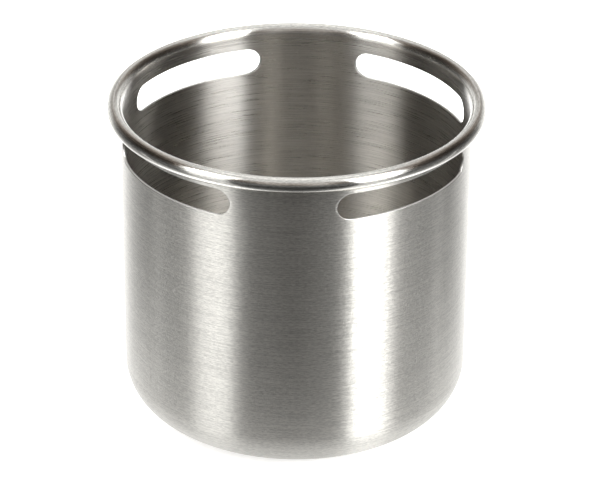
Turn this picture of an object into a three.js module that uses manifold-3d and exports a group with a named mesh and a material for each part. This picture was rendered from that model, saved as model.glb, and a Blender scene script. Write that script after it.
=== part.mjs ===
// A one-piece drawn stainless vessel: flat bottom, round bottom corner, straight wall with four long
// round-ended slots under the rim, and a rim that is rolled outward into a hollow bead.
// Millimetres, +Z up, origin at the middle of the bottom. The slots face +X, +Y, -X and -Y.
import * as THREE from "three";
import { mergeVertices } from "three/addons/utils/BufferGeometryUtils.js";
import Module from "manifold-3d";

// Driving dimensions
const wallDiameter = 123.5; // outside of the straight wall
const height = 117.5; // bottom to the top of the bead
const sheet = 0.9; // thickness of the steel
const cornerRadius = 15.5; // outside of the bottom corner
const flareRadius = 3.5; // inside face, where the wall starts to roll outward
const flareTurn = 60; // degrees that the wall has turned when the bead takes over
const beadRadius = 2.6; // outside of the rolled bead
const curlGap = 0.4; // between the wall and the sheet's rolled-in edge, which leaves the bead open
const slotCount = 4;
const slotLength = 58; // end to end, measured straight across
const slotHeight = 9.6; // the ends are half circles of this diameter
const slotBelowTop = 8.2; // top of the bead down to the slot's upper edge

// Fineness of the facets
const aroundSteps = 72;
const arcStep = 22.5; // degrees, on the corner, the flare and the bead
const slotEndSteps = 10;

// Sizes that follow from them
const wallRadius = wallDiameter / 2;
const innerRadius = wallRadius - sheet;
const flareEnd = 180 - flareTurn; // direction from either centre to the point where flare and bead meet
const centreShift = flareRadius - beadRadius; // the two circles touch there, so their centres are this far apart
const cornerCentre = new THREE.Vector2(wallRadius - cornerRadius, cornerRadius);
const beadCentre = new THREE.Vector2(
  innerRadius + flareRadius + centreShift * Math.cos(radians(flareEnd)),
  height - beadRadius,
);
const flareCentre = new THREE.Vector2(
  innerRadius + flareRadius,
  beadCentre.y - centreShift * Math.sin(radians(flareEnd)),
);
const curlEnd = -degrees(Math.acos((wallRadius + curlGap - beadCentre.x) / beadRadius));
const slotMiddle = height - slotBelowTop - slotHeight / 2;

function radians(angle) {
  return (angle * Math.PI) / 180;
}

function degrees(angle) {
  return (angle * 180) / Math.PI;
}

// Points on an arc: both ends, and the whole steps between them that aren't crowded against an end.
function arc(centre, radius, from, to) {
  const low = Math.min(from, to) + arcStep / 3;
  const high = Math.max(from, to) - arcStep / 3;
  const between = [];
  for (let angle = Math.ceil(low / arcStep) * arcStep; angle <= high; angle += arcStep) between.push(angle);
  if (to < from) between.reverse();
  return [from, ...between, to].map(
    (angle) =>
      new THREE.Vector2(
        centre.x + radius * Math.cos(radians(angle)),
        centre.y + radius * Math.sin(radians(angle)),
      ),
  );
}

// One face of the sheet, from the axis to its rolled-in edge. Depth 0 is the outer face, which ends up
// inside the bead. Depth sheet is the inner face, which becomes the bead's skin.
function sheetFace(depth) {
  const underSkin = sheet - depth;
  return [
    new THREE.Vector2(0, depth),
    ...arc(cornerCentre, cornerRadius - depth, -90, 0),
    ...arc(flareCentre, flareRadius - underSkin, 180, flareEnd),
    ...arc(beadCentre, beadRadius - underSkin, flareEnd, curlEnd).slice(1),
  ];
}

function turnedSheet() {
  const profile = [...sheetFace(0), ...sheetFace(sheet).reverse()];
  return new THREE.LatheGeometry(profile, aroundSteps).rotateX(Math.PI / 2);
}

// A slot's punch is a bar with half-round ends. It goes through the wall straight along one side's direction.
function slotPunch(index) {
  const endRadius = slotHeight / 2;
  const endCentre = slotLength / 2 - endRadius;
  const outline = new THREE.Shape();
  outline.absarc(endCentre, 0, endRadius, -Math.PI / 2, Math.PI / 2, false);
  outline.absarc(-endCentre, 0, endRadius, Math.PI / 2, (3 * Math.PI) / 2, false);
  const start = Math.sqrt(innerRadius ** 2 - (slotLength / 2) ** 2) - 2 * sheet;
  const bar = new THREE.ExtrudeGeometry(outline, {
    depth: wallRadius + 2 * sheet - start,
    bevelEnabled: false,
    curveSegments: slotEndSteps,
  });
  // Turned so that the outline's length runs along Y and its height along Z, and the bar goes out along X.
  bar.rotateX(Math.PI / 2).rotateZ(Math.PI / 2).translate(start, 0, slotMiddle);
  return bar.rotateZ((2 * Math.PI * index) / slotCount);
}

const wasm = await Module();
wasm.setup();

function toSolid(geometry) {
  const bare = geometry.clone();
  bare.deleteAttribute("normal");
  bare.deleteAttribute("uv");
  const merged = mergeVertices(bare, 1e-4);
  return new wasm.Manifold(
    new wasm.Mesh({
      numProp: 3,
      vertProperties: merged.attributes.position.array,
      triVerts: new Uint32Array(merged.index.array),
    }),
  );
}

function toGeometry(solid) {
  const mesh = solid.getMesh();
  const geometry = new THREE.BufferGeometry();
  geometry.setAttribute("position", new THREE.BufferAttribute(mesh.vertProperties, 3));
  geometry.setIndex(new THREE.BufferAttribute(mesh.triVerts, 1));
  geometry.computeVertexNormals();
  return geometry;
}

function vesselShell() {
  let shell = toSolid(turnedSheet());
  for (let index = 0; index < slotCount; index += 1) shell = shell.subtract(toSolid(slotPunch(index)));
  const steel = new THREE.MeshStandardMaterial({ color: 0xb9b8b3, roughness: 0.32, metalness: 1 });
  const mesh = new THREE.Mesh(toGeometry(shell), steel);
  mesh.name = "vessel_shell";
  return mesh;
}

const vessel = new THREE.Group();
vessel.add(vesselShell());

export default vessel;
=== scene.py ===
# A drawn stainless vessel with a rolled rim and four slots, standing on a pale studio floor.
import math

import bmesh
import bpy
import numpy as np
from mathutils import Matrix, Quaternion, Vector


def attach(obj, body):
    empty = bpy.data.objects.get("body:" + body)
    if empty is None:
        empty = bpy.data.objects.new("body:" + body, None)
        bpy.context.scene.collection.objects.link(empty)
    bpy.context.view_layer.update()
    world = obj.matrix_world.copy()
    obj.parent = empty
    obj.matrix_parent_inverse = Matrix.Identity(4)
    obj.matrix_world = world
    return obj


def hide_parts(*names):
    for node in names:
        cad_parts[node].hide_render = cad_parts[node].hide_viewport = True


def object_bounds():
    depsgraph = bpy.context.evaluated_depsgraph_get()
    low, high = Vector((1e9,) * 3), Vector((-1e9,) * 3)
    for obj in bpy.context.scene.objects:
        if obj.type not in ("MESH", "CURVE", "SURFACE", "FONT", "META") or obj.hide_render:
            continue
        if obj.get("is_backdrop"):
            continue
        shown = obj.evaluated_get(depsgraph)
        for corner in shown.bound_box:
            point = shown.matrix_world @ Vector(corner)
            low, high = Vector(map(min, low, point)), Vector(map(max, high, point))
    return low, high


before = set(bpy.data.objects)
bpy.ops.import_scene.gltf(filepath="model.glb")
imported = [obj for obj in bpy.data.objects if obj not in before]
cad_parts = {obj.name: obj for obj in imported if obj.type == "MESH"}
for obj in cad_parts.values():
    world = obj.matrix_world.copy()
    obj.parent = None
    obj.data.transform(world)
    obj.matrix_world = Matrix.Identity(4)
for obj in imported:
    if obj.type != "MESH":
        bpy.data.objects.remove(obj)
cadLow, cadHigh = (list(corner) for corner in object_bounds())
mm = 0.001


def direction(azimuth, elevation):
    # the unit vector (sin a cos e, -cos a cos e, sin e), for an azimuth a and an elevation e in degrees;
    # azimuth 0 is the -Y side and 90 the +X side
    a, e = math.radians(azimuth), math.radians(elevation)
    return Vector((math.sin(a) * math.cos(e), -math.cos(a) * math.cos(e), math.sin(e)))


cameraView = {
    "azimuth": 49.0,
    "elevation": 27.81,
    "distance": 0.9955,
    "heightOnAxis": 61.75 * mm,  # the camera's distance and elevation are taken from this point on the axis
    "aimRight": 1.6 * mm,  # from that point to the one in the middle of the view
    "aimDown": 0.86 * mm,
    "roll": 0.453,
    "lens": 166.6,
    "sensorWidth": 36.0,
    "nearest": 0.01,
    "farthest": 50.0,
}


def makeCamera(view):
    # it stands at target + distance * direction and is rolled about its line of sight
    data = bpy.data.cameras.new("studioCamera")
    data.lens, data.sensor_width, data.sensor_fit = view["lens"], view["sensorWidth"], "HORIZONTAL"
    data.clip_start, data.clip_end = view["nearest"], view["farthest"]
    camera = bpy.data.objects.new("studioCamera", data)
    bpy.context.scene.collection.objects.link(camera)
    target = Vector((0, 0, view["heightOnAxis"]))
    camera.location = target + view["distance"] * direction(view["azimuth"], view["elevation"])
    forward = (target - camera.location).normalized()
    right = forward.cross(Vector((0, 0, 1))).normalized()
    up = right.cross(forward)
    aim = target + view["aimRight"] * right - view["aimDown"] * up
    level = (aim - camera.location).to_track_quat("-Z", "Y")
    camera.rotation_mode = "QUATERNION"
    camera.rotation_quaternion = level @ Quaternion((0, 0, 1), math.radians(view["roll"]))
    bpy.context.scene.camera = camera


makeCamera(cameraView)
print("camera placed")

vessel = {
    "sheet": 0.9 * mm,
    "cornerRadius": 15.5 * mm,  # outside of the bottom corner
    "flareRadius": 3.5 * mm,  # inside face, where the wall starts to roll outward
    "flareTurn": 60,  # degrees that the wall has turned when the bead takes over
    "beadRadius": 2.6 * mm,
    "curlGap": 0.12 * mm,  # between the wall and the rolled-in edge
    "slotCount": 4,
    "slotLength": 58 * mm,
    "slotHeight": 9.6 * mm,
    "slotBelowTop": 8.2 * mm,
    "punchedRound": 0.22 * mm,  # softened edge of the punched slots
    "bandMargin": 2.2 * mm,  # strip of wall above and below the slots that is meshed round them
    "grainRadius": 60 * mm,  # the grain's UV runs round the vessel as the angle times this
    "columnsPerSlot": 96,
    "bandRows": 12,  # up the strip between two slots
    "bandShares": (0, 0.25, 0.5, 0.7, 0.85, 0.95, 1),  # rows on the way from the band's edge to the slot
    "lipRows": 6,  # round each softened edge
    # steps along each stretch of the section
    "steps": {"bottom": 14, "corner": 26, "wall": 10, "strip": 2, "underFlare": 8, "hollow": 22,
              "curlEdge": 8, "beadSkin": 52, "flare": 12, "innerStrip": 2, "innerWall": 10,
              "innerCorner": 22, "floor": 14},
}
mergeWithin = 0.001 * mm  # points closer than this are one


def arc(centre, radius, start, end, steps):
    # centre plus radius times (cos a, sin a), for a going evenly from start to end degrees
    a = np.radians(np.linspace(start, end, steps + 1))
    return np.stack([centre[0] + radius * np.cos(a), centre[1] + radius * np.sin(a)], axis=1)


def line(start, end, steps):
    # start times (1 - t) plus end times t, for t going evenly from 0 to 1
    t = np.linspace(0, 1, steps + 1)[:, None]
    return np.array(start) * (1 - t) + np.array(end) * t


def sectionSizes(v):
    # the frame's box gives the rim and the top; the bead's centre is one bead radius in and down from them,
    # and the flare's centre lies on the line through it at the angle where the flare and the bead touch
    top, rim = cadHigh[2], cadHigh[0]
    shift = v["flareRadius"] - v["beadRadius"]
    turn = math.radians(180 - v["flareTurn"])
    s = {"beadCentre": (rim - v["beadRadius"], top - v["beadRadius"])}
    s["flareCentre"] = (
        s["beadCentre"][0] - shift * math.cos(turn),
        s["beadCentre"][1] - shift * math.sin(turn),
    )
    s["inner"] = s["flareCentre"][0] - v["flareRadius"]
    s["outer"] = s["inner"] + v["sheet"]
    s["cornerCentre"] = (s["outer"] - v["cornerRadius"], v["cornerRadius"])
    curlIn = s["outer"] + v["curlGap"] - s["beadCentre"][0]
    s["curlEnd"] = -math.degrees(math.acos(curlIn / v["beadRadius"]))
    s["slotMiddle"] = top - v["slotBelowTop"] - v["slotHeight"] / 2
    s["bandHalf"] = v["slotHeight"] / 2 + v["bandMargin"]
    return s


def sectionStretches(v, s):
    # the sheet's section as (radius, height) rows: out along the bottom, up the outside, round the rim and
    # down the inside; the two bands with slots are None
    low, high = s["slotMiddle"] - s["bandHalf"], s["slotMiddle"] + s["bandHalf"]
    foot, wallTop, turnEnd = s["cornerCentre"][0], s["flareCentre"][1], 180 - v["flareTurn"]
    half, n = v["sheet"] / 2, v["steps"]
    curl = math.radians(s["curlEnd"])
    curlMiddle = (
        s["beadCentre"][0] + (v["beadRadius"] - half) * math.cos(curl),
        s["beadCentre"][1] + (v["beadRadius"] - half) * math.sin(curl),
    )
    corner, flare, bead = v["cornerRadius"], v["flareRadius"], v["beadRadius"]
    return {
        "bottom": line((0, 0), (foot, 0), n["bottom"]),
        "corner": arc(s["cornerCentre"], corner, -90, 0, n["corner"]),
        "wall": line((s["outer"], corner), (s["outer"], low), n["wall"]),
        "outerBand": None,
        "strip": line((s["outer"], high), (s["outer"], wallTop), n["strip"]),
        "underFlare": arc(s["flareCentre"], flare - v["sheet"], 180, turnEnd, n["underFlare"]),
        "hollow": arc(s["beadCentre"], bead - v["sheet"], turnEnd, s["curlEnd"], n["hollow"]),
        "curlEdge": arc(curlMiddle, half, s["curlEnd"] + 180, s["curlEnd"] + 360, n["curlEdge"])[::-1],
        "beadSkin": arc(s["beadCentre"], bead, s["curlEnd"], turnEnd, n["beadSkin"]),
        "flare": arc(s["flareCentre"], flare, turnEnd, 180, n["flare"]),
        "innerStrip": line((s["inner"], wallTop), (s["inner"], high), n["innerStrip"]),
        "innerBand": None,
        "innerWall": line((s["inner"], low), (s["inner"], corner), n["innerWall"]),
        "innerCorner": arc(s["cornerCentre"], corner - v["sheet"], 0, -90, n["innerCorner"]),
        "floor": line((foot, v["sheet"]), (0, v["sheet"]), n["floor"]),
    }


# (polish, inside) at the start and the end of a stretch, changing evenly between; others are (0, 0). They
# also set where the colour gets a painted highlight on the bead and painted shade inside
sectionFinish = {
    "strip": ((0, 0), (0.3, 0)),
    "underFlare": ((0.3, 0), (1, 0)),
    "hollow": ((1, 0), (1, 0)),
    "curlEdge": ((1, 0), (1, 0)),
    "beadSkin": ((1, 0), (1, 0)),
    "flare": ((1, 0), (0.25, 1)),
    "innerStrip": ((0.25, 1), (0, 1)),
    "innerBand": ((0, 1), (0, 1)),
    "innerWall": ((0, 1), (0, 1)),
    "innerCorner": ((0, 1), (0, 1)),
    "floor": ((0, 1), (0, 1)),
}


def finishOf(name, rows, columns):
    # start times (1 - t) plus end times t down the rows, the same in every column
    start, end = (np.array(pair) for pair in sectionFinish.get(name, ((0, 0), (0, 0))))
    t = np.linspace(0, 1, rows)[:, None, None]
    return start * (1 - t) + end * t + np.zeros((1, columns, 1))


def turned(section, along, columns, grainRadius):
    # each (radius, height) row goes round the axis: (r sin t, -r cos t, z); its UV is (length along the
    # section, grain radius times t)
    t = np.linspace(0, 2 * np.pi, columns + 1)
    r, z = section[:, :1], section[:, 1:]
    points = np.stack([r * np.sin(t), -r * np.cos(t), z + 0 * t], axis=2)
    uv = np.stack([along[:, None] + 0 * t, grainRadius * t + 0 * r], axis=2)
    return points, uv


def aroundSlot(v, s):
    # a closed loop of columns round one slot: first on the edge of its quarter of the band, as (angle,
    # height), and then the nearest point on the slot's middle line and the direction from there to the edge
    n, m, quarter, top = v["columnsPerSlot"], v["bandRows"], math.pi / v["slotCount"], s["bandHalf"]
    across, up = np.linspace(-quarter, quarter, n + 1), np.linspace(-top, top, m + 1)
    angle = np.concatenate([across, np.full(m, quarter), across[::-1][1:], np.full(m, -quarter)])
    height = np.concatenate([np.full(n + 1, -top), up[1:], np.full(n, top), up[::-1][1:]])
    side = s["outer"] * np.sin(angle)
    end = v["slotLength"] / 2 - v["slotHeight"] / 2
    middle = np.clip(side, -end, end)
    away = np.stack([side - middle, height], axis=1)
    return angle, height, middle, away / np.linalg.norm(away, axis=1)[:, None]


def slottedBands(v, s, alongOuter, alongInner):
    # one quarter as rows of (side, height, radius) in three parts, then turned to every slot: the outer face
    # from the band's edge to the slot, the punched edge across the sheet with its two softened corners, and
    # the inner face back out again. A point lies at side = radius * sin(angle), so the slot is the same bar
    # at every depth.
    angle, height, middle, away = aroundSlot(v, s)
    soft, half = v["punchedRound"], v["slotHeight"] / 2

    def outline(grow, radius):
        # middle + (half a slot's height + grow) * away, at one radius
        side, rise = (half + grow) * away.T
        return np.stack([middle + side, rise, np.full(len(middle), radius)], axis=1)

    def face(radius, rows):
        # band's edge times (1 - t) plus softened edge times t
        edge = np.stack([radius * np.sin(angle), height, np.full(len(angle), radius)], axis=1)
        return np.array([edge * (1 - t) + outline(soft, radius) * t for t in rows])

    def lip(radius, way, bends):
        # a quarter circle from the face into the slot: grow = soft * (1 - sin b), depth = soft * (1 - cos b)
        return [outline(soft * (1 - math.sin(b)), radius + way * soft * (1 - math.cos(b))) for b in bends]

    bend = np.radians(np.linspace(0, 90, v["lipRows"]))
    parts = {
        "outerBand": (face(s["outer"], v["bandShares"]), alongOuter, 1),
        "punchedEdge": (np.array(lip(s["outer"], -1, bend) + lip(s["inner"], 1, bend[::-1])), None, 1),
        "innerBand": (face(s["inner"], v["bandShares"][::-1]), alongInner, -1),
    }
    quarters = []
    for name, (grid, along, way) in parts.items():
        side, rise, radius = grid[..., 0], grid[..., 1], grid[..., 2]
        turn = np.arcsin(side / radius)
        if along is None:
            step = np.linalg.norm(np.diff(grid, axis=0), axis=2).cumsum(axis=0)
            lengthAlong = np.concatenate([np.zeros((1, grid.shape[1])), step])
        else:
            lengthAlong = along + way * rise
        for k in range(v["slotCount"]):
            t = turn + 2 * np.pi * k / v["slotCount"] + np.pi / 2
            points = np.stack([radius * np.sin(t), -radius * np.cos(t), s["slotMiddle"] + rise], axis=2)
            quarters.append((name, points, np.stack([lengthAlong, v["grainRadius"] * t], axis=2)))
    return quarters


def meshOfGrids(name, grids, materials):
    # one quad between every four neighbours of each (points, uv, material slot, finish) grid; grids share
    # their borders, where the doubles are merged
    points, uvs, corners, slots, finishes, start = [], [], [], [], [], 0
    for grid, uv, slot, finish in grids:
        m, n = grid.shape[:2]
        index = start + np.arange(m * n).reshape(m, n)
        quads = np.stack([index[:-1, :-1], index[:-1, 1:], index[1:, 1:], index[1:, :-1]], axis=2)
        quads = quads.reshape(-1, 4)
        points.append(grid.reshape(-1, 3))
        uvs.append(uv.reshape(-1, 2)[quads.ravel() - start])
        corners.append(quads)
        slots.append(np.full(len(quads), slot))
        finishes.append(finish.reshape(-1, 2))
        start += m * n
    mesh = bpy.data.meshes.new(name)
    mesh.from_pydata(np.concatenate(points), [], np.concatenate(corners))
    mesh.uv_layers.new(name="grain").data.foreach_set("uv", np.concatenate(uvs).astype(np.float32).ravel())
    mesh.polygons.foreach_set("material_index", np.concatenate(slots).astype(np.int32))
    for k, attribute in enumerate(("polish", "inside")):
        values = np.concatenate(finishes)[:, k].astype(np.float32)
        mesh.attributes.new(attribute, "FLOAT", "POINT").data.foreach_set("value", values)
    for material in materials:
        mesh.materials.append(material)
    work = bmesh.new()
    work.from_mesh(mesh)
    bmesh.ops.remove_doubles(work, verts=work.verts, dist=mergeWithin)
    if work.calc_volume(signed=True) < 0:
        bmesh.ops.reverse_faces(work, faces=work.faces)
    work.to_mesh(mesh)
    work.free()
    mesh.shade_smooth()
    piece = bpy.data.objects.new(name, mesh)
    bpy.context.scene.collection.objects.link(piece)
    return piece


def makeVessel(v, steel, punched):
    # the section's stretches turned round the axis, and the bands with slots where the section has None
    s = sectionSizes(v)
    columns = v["columnsPerSlot"] * v["slotCount"]
    grids, length, middles = [], 0.0, {}
    for name, section in sectionStretches(v, s).items():
        if section is None:
            middles[name] = length + s["bandHalf"]
            length += 2 * s["bandHalf"]
            continue
        step = np.concatenate([[0], np.linalg.norm(np.diff(section, axis=0), axis=1).cumsum()])
        points, uv = turned(section, length + step, columns, v["grainRadius"])
        grids.append((points, uv, 0, finishOf(name, len(section), columns + 1)))
        length += step[-1]
    for name, points, uv in slottedBands(v, s, middles["outerBand"], middles["innerBand"]):
        grids.append((points, uv, 1 if name == "punchedEdge" else 0, finishOf(name, *points.shape[:2])))
    return meshOfGrids("drawnVessel", grids, [steel, punched])


steelLook = {
    "light": (0.78, 0.765, 0.717),
    "dark": (0.55, 0.539, 0.506),
    "beadPaintedHighlight": 1.08,  # painted highlight: the colour is multiplied by this on the polished bead, which lifts its reflections
    # painted shade: the colour is multiplied by this inside the vessel, which darkens the hollow
    "insidePaintedShade": (0.86, 0.852, 0.858),
    "wallRoughness": 0.30,
    "insideRoughness": 0.285,
    "beadRoughness": 0.12,
    "roughnessSpread": 0.02,  # the scratches add or take up to this much
    "sheenStretch": 1.0,
    # scratches, as (width along the section, length round the vessel, detail, seed)
    "grain": (0.22 * mm, 1.5 * mm, 2.0, 0.0),
    "streaks": (0.3 * mm, 17 * mm, 1.0, 17.3),
    "hairs": (0.05 * mm, 0.3 * mm, 0.0, 5.9),  # too fine to be seen, they spread the sheen up and down
    "crispness": 0.6,  # how strongly each finer step of detail shows
    "markEdges": (0.38, 0.62),  # where the noise is a dark mark and where a light one
    "beadTilt": 0.05,  # share of the surface's lean that is left on the polished bead
    # these pairs are for outside and inside
    "streakShare": (0.35, 0.75),  # of the streaks, the rest is grain
    "contrast": (1.0, 0.62),  # of the colour's light and dark marks
    "grainTilt": (0.12, 0.1),  # how far the scratches lean the surface, as a slope
    "hairTilt": (1.3, 0.5),
}
punchedLook = {
    "color": (0.6, 0.59, 0.57),
    "roughness": (0.3, 0.44),
    "grainScale": 900.0,
    "grainDetail": 3.0,
    "bumpStrength": 0.3,
    "bumpHeight": 0.02 * mm,
}
noiseSpan = (0.3, 0.7)  # nearly all of a noise's values lie between these
noiseMiddle = 0.5


class NodeSheet:
    # a small helper round one node tree; a value is a number, a vector, a colour or another node's socket
    def __init__(self, tree):
        self.tree = tree

    def put(self, socket, value):
        if isinstance(value, bpy.types.NodeSocket):
            self.tree.links.new(value, socket)
        elif socket.type == "RGBA":
            socket.default_value = (*value, 1)
        else:
            socket.default_value = value

    def add(self, kind, settings=None, **sockets):
        node = self.tree.nodes.new("ShaderNode" + kind)
        for name, value in (settings or {}).items():
            setattr(node, name, value)
        for name, value in sockets.items():
            self.put(node.inputs[name], value)
        return node

    def fill(self, node, values, output=0):
        # the values go into the node's first sockets in their order
        for socket, value in zip(node.inputs, values):
            self.put(socket, value)
        return node.outputs[output]

    def math(self, operation, *values):
        return self.fill(self.add("Math", {"operation": operation}), values)

    def vector(self, operation, *values, output="Vector"):
        return self.fill(self.add("VectorMath", {"operation": operation}), values, output)

    def scaled(self, vector, factor):
        return self.add("VectorMath", {"operation": "SCALE"}, Vector=vector, Scale=factor).outputs[0]

    def mapRange(self, value, fromMin, fromMax, toMin, toMax, smooth=False):
        kind = "SMOOTHSTEP" if smooth else "LINEAR"
        node = self.add("MapRange", {"interpolation_type": kind})
        return self.fill(node, (value, fromMin, fromMax, toMin, toMax))

    def mixNumbers(self, share, first, second):
        node = self.add("Mix", {"data_type": "FLOAT"})
        for k, value in ((0, share), (2, first), (3, second)):  # its number sockets
            self.put(node.inputs[k], value)
        return node.outputs[0]

    def mixColors(self, share, first, second, blend="MIX"):
        node = self.add("Mix", {"data_type": "RGBA", "blend_type": blend})
        for k, value in ((0, share), (6, first), (7, second)):  # its colour sockets
            self.put(node.inputs[k], value)
        return node.outputs[2]

    def separate(self, vector):
        return self.add("SeparateXYZ", Vector=vector).outputs

    def place(self):
        return self.add("TexCoord").outputs["Object"]

    def evenNoise(self, scale, detail):
        return self.add("TexNoise", Vector=self.place(), Scale=scale, Detail=detail).outputs[0]

    def finish(self, shader, kind="OutputMaterial"):
        self.put(self.add(kind).inputs[0], shader.outputs[0])


def newMaterial(name):
    material = bpy.data.materials.new(name)
    material.use_nodes = True
    material.node_tree.nodes.clear()
    return material, NodeSheet(material.node_tree)


def scratches(sheet, layer, crispness):
    # noise read at (x / length, y / length, length along the section / width + seed), so its marks are long
    # round the vessel and narrow along the section
    width, length, detail, seed = layer
    x, y, _ = sheet.separate(sheet.place())
    along = sheet.separate(sheet.add("UVMap", {"uv_map": "grain"}).outputs[0])[0]
    grid = sheet.add(
        "CombineXYZ",
        X=sheet.math("MULTIPLY", x, 1 / length),
        Y=sheet.math("MULTIPLY", y, 1 / length),
        Z=sheet.math("MULTIPLY_ADD", along, 1 / width, seed),
    )
    noise = sheet.add("TexNoise", Vector=grid.outputs[0], Scale=1.0, Detail=detail, Roughness=crispness)
    return noise.outputs[0]


def makeSteel(look):
    # grain and streaks are mixed by the share of streaks; that mix lightens and darkens the colour, changes
    # the roughness a little and leans the surface along the section, which the hairs do more strongly
    material, sheet = newMaterial("brushedSteel")
    polish = sheet.add("Attribute", {"attribute_name": "polish"}).outputs["Fac"]
    inside = sheet.add("Attribute", {"attribute_name": "inside"}).outputs["Fac"]

    def byInside(outsideValue, insideValue):
        return sheet.mapRange(inside, 0, 1, outsideValue, insideValue)

    def byPolish(plainValue, polishedValue):
        return sheet.mapRange(polish, 0, 1, plainValue, polishedValue)

    grain, streaks, hairs = (
        scratches(sheet, look[layer], look["crispness"]) for layer in ("grain", "streaks", "hairs")
    )
    both = sheet.mixNumbers(byInside(*look["streakShare"]), grain, streaks)

    mark = sheet.math("SUBTRACT", sheet.mapRange(both, *look["markEdges"], 0, 1, smooth=True), 0.5)
    mark = sheet.math("MULTIPLY_ADD", mark, byInside(*look["contrast"]), 0.5)
    tone = sheet.mixColors(mark, look["dark"], look["light"])
    # painted shade: the inside's colour is multiplied down, which darkens the hollow
    tone = sheet.mixColors(inside, tone, look["insidePaintedShade"], "MULTIPLY")
    # painted highlight: the polished bead's colour is lifted so that its reflections come out brighter
    tone = sheet.scaled(tone, byPolish(1, look["beadPaintedHighlight"]))

    spread = look["roughnessSpread"]
    rough = byPolish(byInside(look["wallRoughness"], look["insideRoughness"]), look["beadRoughness"])
    rough = sheet.math("ADD", rough, sheet.mapRange(both, *noiseSpan, -spread, spread))

    # the sheen runs across the grain, so up the wall and out along the bottom
    tangent = sheet.add("Tangent", {"direction_type": "UV_MAP", "uv_map": "grain"}).outputs[0]
    coarse, fine = (sheet.math("SUBTRACT", noise, noiseMiddle) for noise in (both, hairs))
    lean = sheet.math("MULTIPLY", coarse, byInside(*look["grainTilt"]))
    lean = sheet.math("MULTIPLY_ADD", fine, byInside(*look["hairTilt"]), lean)
    lean = sheet.math("MULTIPLY", lean, byPolish(1, look["beadTilt"]))
    normal = sheet.vector("ADD", sheet.add("NewGeometry").outputs["Normal"], sheet.scaled(tangent, lean))
    normal = sheet.vector("NORMALIZE", normal)

    shader = sheet.add("BsdfPrincipled", Metallic=1.0, Anisotropic=look["sheenStretch"])
    sockets = {"Base Color": tone, "Roughness": rough, "Normal": normal, "Tangent": tangent}
    for name, value in sockets.items():
        sheet.put(shader.inputs[name], value)
    sheet.finish(shader)
    return material


def makePunchedEdge(look):
    # bare metal with a fine even noise in its roughness and bump
    material, sheet = newMaterial("punchedEdge")
    noise = sheet.evenNoise(look["grainScale"], look["grainDetail"])
    bump = sheet.add("Bump", Strength=look["bumpStrength"], Distance=look["bumpHeight"], Height=noise)
    shader = sheet.add("BsdfPrincipled", Metallic=1.0, Normal=bump.outputs[0])
    sheet.put(shader.inputs["Base Color"], look["color"])
    sheet.put(shader.inputs["Roughness"], sheet.mapRange(noise, *noiseSpan, *look["roughness"]))
    sheet.finish(shader)
    return material


drawnVessel = makeVessel(vessel, makeSteel(steelLook), makePunchedEdge(punchedLook))
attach(drawnVessel, "root")
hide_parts("vessel_shell")
print("vessel meshed:", len(drawnVessel.data.polygons), "faces")

floorLook = {
    "size": 8.0,
    "below": 0.05 * mm,  # under the vessel's bottom
    "color": (0.92, 0.92, 0.915),
    "roughness": (0.65, 0.75),
    "patchScale": 3.0,
    "patchDetail": 2.0,
    "glowColor": (1, 1, 1),
    "glow": 0.4,
}


def flatSquare(name, size, below, material):
    # (x, y, -below), for x and y from minus to plus half the size
    t = np.linspace(-size / 2, size / 2, 3)
    x, y = np.meshgrid(t, t)
    grid = np.stack([x, y, 0 * x - below], axis=2)
    return meshOfGrids(name, [(grid[:, ::-1], grid[..., :2], 0, finishOf(name, 3, 3))], [material])


def makeFloor(look):
    # pale and dull, and it glows a little so that it comes out white; the vessel's reflections don't see it
    material, sheet = newMaterial("paleFloor")
    noise = sheet.evenNoise(look["patchScale"], look["patchDetail"])
    shader = sheet.add("BsdfPrincipled")
    sheet.put(shader.inputs["Base Color"], look["color"])
    sheet.put(shader.inputs["Roughness"], sheet.mapRange(noise, *noiseSpan, *look["roughness"]))
    sheet.put(shader.inputs["Emission Color"], look["glowColor"])
    sheet.put(shader.inputs["Emission Strength"], look["glow"])
    sheet.finish(shader)
    floor = flatSquare("studioFloor", look["size"], look["below"], material)
    floor.visible_glossy = False
    floor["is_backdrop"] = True


# the bright table close round the vessel, which only its reflections see; the pairs are (brightness,
# distance over which it fades to a third)
tableGlow = {
    "size": 1.2,
    "below": 0.02 * mm,  # under the vessel's bottom
    "front": (0.9, 18 * mm),  # on the camera's side
    "beside": (1.6, 60 * mm),  # on the other sides
}


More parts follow.
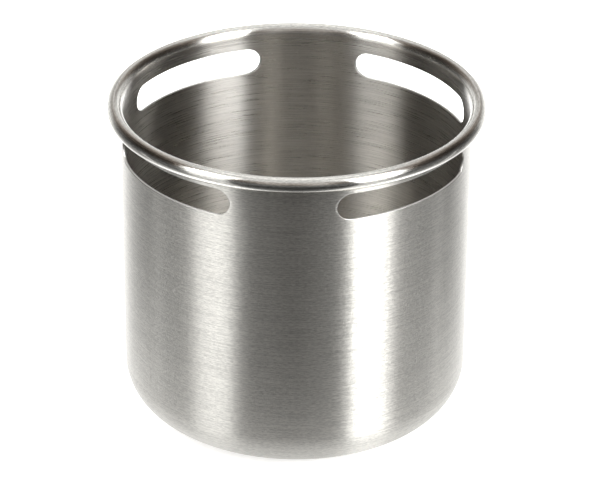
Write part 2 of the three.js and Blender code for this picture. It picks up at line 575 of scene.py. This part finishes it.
def makeTableGlow(glow, view, foot):
    # brightness times exp(-d / fade) at a distance d outside the foot's radius; both go from the values
    # beside to the front ones with the cosine of the angle from the camera's side, and behind stay as beside
    material, sheet = newMaterial("tableGlow")
    place = sheet.place()
    away = sheet.math("SUBTRACT", sheet.vector("LENGTH", place, output="Value"), foot)
    towards = sheet.vector("NORMALIZE", place)
    cosine = sheet.vector("DOT_PRODUCT", towards, direction(view["azimuth"], 0), output="Value")
    cosine = sheet.math("MAXIMUM", cosine, 0.0)
    bright, fade = (
        sheet.math("MULTIPLY_ADD", cosine, front - beside, beside)
        for front, beside in zip(glow["front"], glow["beside"])
    )
    share = sheet.math("EXPONENT", sheet.math("DIVIDE", sheet.math("MULTIPLY", away, -1.0), fade))
    mix = sheet.add("MixShader")
    clear, lamp = sheet.add("BsdfTransparent"), sheet.add("Emission", Strength=bright)
    sheet.fill(mix, (share, clear.outputs[0], lamp.outputs[0]))
    sheet.finish(mix)
    card = flatSquare("tableGlow", glow["size"], glow["below"], material)
    card.visible_camera = card.visible_diffuse = card.visible_shadow = card.visible_transmission = False
    card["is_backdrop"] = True


# how bright the studio is round the vessel: at each rise (the sine of the elevation) a ring of
# (degrees to the right of the camera, brightness)
studioRings = [
    (-0.9, [(-180, 2.4), (-125, 3.3), (-75, 3.3), (-62, 1.2), (-44, 0.7), (-36, 0.25), (0, 0.12), (34, 0.25),
            (40, 0.7), (60, 1.0), (75, 3.1), (125, 3.1), (180, 2.4)]),
    (-0.65, [(-180, 1.5), (-150, 1.2), (-125, 0.5), (-75, 0.4), (-66, 0.7), (-54, 0.85), (-42, 0.7),
             (-36, 0.12), (0, 0.05), (35, 0.12), (40, 0.75), (48, 0.8), (56, 0.7), (66, 0.4), (75, 0.4),
             (125, 0.5), (150, 1.2), (180, 1.5)]),
    (-0.4, [(-180, 2.2), (-163, 2.1), (-150, 1.8), (-138, 1.1), (-124, 0.45), (-103, 0.24), (-99, 1.0),
            (-95, 0.22), (-73, 0.2), (-67, 0.4), (-62, 0.6), (-54, 0.75), (-42, 0.72), (-37, 0.1),
            (-28, 0.05), (0, 0.03), (22, 0.04), (36, 0.08), (40, 0.65), (48, 0.75), (54, 0.6), (60, 0.28),
            (68, 0.2), (100, 0.22), (104, 1.1), (108, 0.26), (124, 0.5), (138, 1.1), (150, 1.8),
            (163, 2.1), (180, 2.2)]),
    (0.0, [(-180, 1.1), (-170, 1.2), (-159, 1.6), (-148, 1.4), (-138, 1.0), (-129, 0.3), (-115, 0.12),
           (-74, 0.12), (-66, 0.3), (-61, 1.05), (-42, 1.05), (-37, 0.2), (-28, 0.13), (0, 0.11), (22, 0.14),
           (35, 0.18), (39, 1.1), (56, 1.1), (62, 0.4), (68, 0.14), (115, 0.12), (129, 0.3), (138, 1.0),
           (148, 1.4), (159, 1.6), (170, 1.2), (180, 1.1)]),
    (0.4, [(-180, 0.75), (-170, 0.45), (-150, 0.3), (-135, 0.1), (-115, 0.03), (-78, 0.05), (-70, 0.3),
           (-65, 2.5), (-44, 2.5), (-40, 0.16), (-29, 0.13), (-18, 0.3), (0, 0.22), (16, 0.4), (28, 0.16),
           (34, 0.25), (38, 10.0), (59, 10.0), (65, 1.5), (71, 0.2), (80, 0.05), (115, 0.03), (135, 0.1),
           (150, 0.3), (170, 0.45), (180, 0.75)]),
    (0.65, [(-180, 1.2), (-170, 0.7), (-160, 0.3), (-145, 0.1), (-115, 0.03), (-88, 0.05), (-80, 0.3),
            (-72, 3.9), (-46, 3.9), (-41, 0.25), (-29, 0.25), (-18, 0.55), (0, 0.4), (16, 0.75), (28, 0.3),
            (35, 0.3), (39, 13.0), (66, 13.0), (72, 1.5), (80, 0.1), (115, 0.03), (145, 0.1), (160, 0.3),
            (170, 0.7), (180, 1.2)]),
    (0.77, [(-180, 1.25), (-166, 1.2), (-156, 0.7), (-146, 0.35), (-115, 0.15), (-96, 0.2), (-86, 0.8),
            (-76, 14.0), (-54, 13.0), (-42, 0.6), (-28, 0.55), (0, 0.55), (28, 0.55), (38, 0.9), (46, 14.0),
            (69, 14.0), (78, 1.0), (97, 0.2), (115, 0.15), (146, 0.35), (156, 0.7), (166, 1.2),
            (180, 1.25)]),
    (0.88, [(-180, 1.2), (-150, 1.2), (-120, 0.5), (-95, 0.5), (-80, 1.4), (-56, 1.2), (-42, 0.7),
            (0, 0.7), (36, 0.7), (48, 1.6), (62, 2.2), (80, 1.6), (92, 0.5), (120, 0.5), (150, 1.2),
            (180, 1.2)]),
]
brightest = max(value for rise, stops in studioRings for angle, value in stops)
studioLook = {
    "straightUp": 0.85,  # the brightness from topRise on
    "topRise": 0.99,
    "roomColor": (1, 0.82, 0.7),  # taken on where it is dimmer than dimBelow, the more the dimmer
    "dimBelow": 0.8,
    "roomRise": (0.2, 0.5),  # not yet at the first rise, fully from the second on
    "lampColor": (1, 1, 1),
}


def ringRamp(sheet, turn, stops):
    # a colour ramp over the whole turn, read at turn = 0 to 1 for -180 to 180 degrees
    node = sheet.add("ValToRGB")
    sheet.put(node.inputs[0], turn)
    ramp = node.color_ramp
    while len(ramp.elements) > 1:
        ramp.elements.remove(ramp.elements[0])
    ramp.elements[0].position = 0
    for k, (angle, value) in enumerate(stops):
        place = (angle + 180) / 360
        element = ramp.elements[0] if k == 0 else ramp.elements.new(place)
        element.position = place
        element.color = (value / brightest, value / brightest, value / brightest, 1)
    return sheet.math("MULTIPLY", node.outputs[0], brightest)


def makeWorld(rings, look, view):
    # at a direction's azimuth each ring gives its brightness, and the one seen goes evenly from ring to ring
    # with the direction's rise; above the table the dim parts take on the room's colour
    world = bpy.data.worlds.new("studio")
    world.use_nodes = True
    world.node_tree.nodes.clear()
    sheet = NodeSheet(world.node_tree)
    x, y, height = sheet.separate(sheet.add("TexCoord").outputs["Generated"])
    turn = sheet.math("ARCTAN2", x, sheet.math("MULTIPLY", y, -1.0))
    turn = sheet.math("SUBTRACT", turn, math.radians(view["azimuth"]))
    # from 0 to 1 for -180 to 180 degrees from the camera; the whole turn more keeps it from going below 0
    turn = sheet.math("FRACT", sheet.math("MULTIPLY_ADD", turn, 1 / (2 * math.pi), 0.5 + 1))
    levels = [(rise, ringRamp(sheet, turn, stops)) for rise, stops in rings]
    levels.append((look["topRise"], look["straightUp"]))
    below, glow = levels[0]
    for rise, level in levels[1:]:
        glow = sheet.mixNumbers(sheet.mapRange(height, below, rise, 0, 1), glow, level)
        below = rise
    dim = sheet.mapRange(glow, 0, look["dimBelow"], 1, 0)
    above = sheet.mapRange(height, *look["roomRise"], 0, 1)
    tint = sheet.mixColors(sheet.math("MULTIPLY", dim, above), look["lampColor"], look["roomColor"])
    sheet.finish(sheet.add("Background", Color=tint, Strength=glow), "OutputWorld")
    bpy.context.scene.world = world


overheadLook = {"elevation": 86, "distance": 1.4, "width": 1.2, "length": 1.2, "power": 30}


def makeOverhead(box, view):
    # a wide lamp at distance * direction that faces the origin; the vessel's reflections don't see it
    data = bpy.data.lights.new("overheadSoftbox", "AREA")
    data.shape, data.size, data.size_y, data.energy = "RECTANGLE", box["width"], box["length"], box["power"]
    lamp = bpy.data.objects.new("overheadSoftbox", data)
    bpy.context.scene.collection.objects.link(lamp)
    lamp.location = box["distance"] * direction(view["azimuth"], box["elevation"])
    lamp.rotation_mode = "QUATERNION"
    lamp.rotation_quaternion = (-lamp.location).to_track_quat("-Z", "Y")
    lamp.visible_glossy = False


makeFloor(floorLook)
makeTableGlow(tableGlow, cameraView, cadHigh[0])
makeWorld(studioRings, studioLook, cameraView)
makeOverhead(overheadLook, cameraView)
bpy.context.scene.view_settings.view_transform = "Standard"
print("studio lit")
